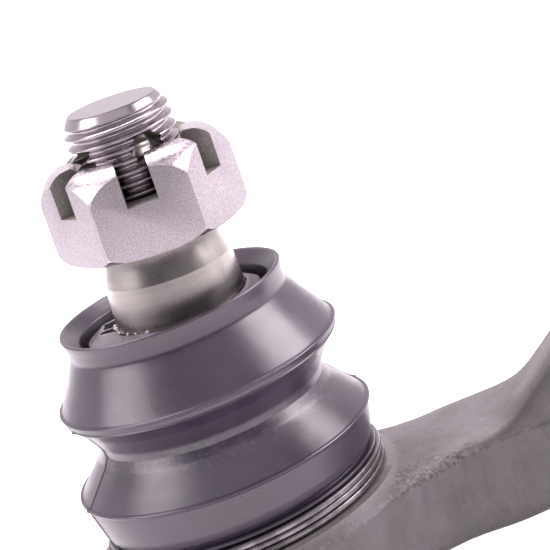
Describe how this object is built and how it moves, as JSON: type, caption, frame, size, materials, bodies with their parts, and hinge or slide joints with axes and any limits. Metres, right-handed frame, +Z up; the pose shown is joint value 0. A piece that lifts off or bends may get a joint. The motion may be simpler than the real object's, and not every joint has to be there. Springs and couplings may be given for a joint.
{
  "type": "outer tie rod end",
  "caption": "Outer tie rod end: forged socket and threaded shank, swivelling tapered ball stud, slotted nut and two-fold dust boot.",
  "frame": {"origin": "middle of the end cover's flat outer face, on the socket's axis", "axes": "+Z up the socket's axis towards the stud; +X along the arm towards the threaded end of the shank"},
  "size_m": [0.1108, 0.0376, 0.0722],
  "materials": {
    "forged_steel": "phosphated forging, fine grain",
    "turned_steel": "turned satin",
    "plated_steel": "satin zinc plate, grainy",
    "boot_rubber": "satin moulded",
    "grey_ring": "matt, greased",
    "spring_steel": "dark oiled",
    "cover_steel": "pressed, phosphated",
    "seat_resin": "moulded natural resin"
  },
  "bodies": {
    "housing": {"housing": "forged_steel", "end_cover": "cover_steel", "disc_spring": "spring_steel", "lower_ball_seat": "seat_resin", "upper_ball_seat": "seat_resin", "boot_clamp_ring": "spring_steel"},
    "boot": {"dust_boot": "boot_rubber"},
    "boot_ring": {"boot_top_ring": "grey_ring"},
    "stud": {"ball_stud": "turned_steel"},
    "nut": {"castle_nut": "plated_steel"}
  },
  "joints": [
    {"name": "swing_sideways", "type": "hinge", "parent": "housing", "child": "boot", "pos_m": [0, 0, 0.015], "axis": [1, 0, 0], "range_deg": [-18, 18], "deforming": ["dust_boot"]},
    {"name": "swing_along_arm", "type": "hinge", "parent": "boot", "child": "boot_ring", "pos_m": [0, 0, 0.015], "axis": [0, 1, 0], "range_deg": [-20.21, 15.79]},
    {"name": "stud_spin", "type": "hinge", "parent": "boot_ring", "child": "stud", "pos_m": [0, 0, 0.015], "axis": [0.0386, 0, 0.9993], "continuous": true},
    {"name": "nut_turn", "type": "hinge", "parent": "stud", "child": "nut", "pos_m": [0, 0, 0.015], "axis": [0.0386, 0, 0.9993], "continuous": true}
  ]
}
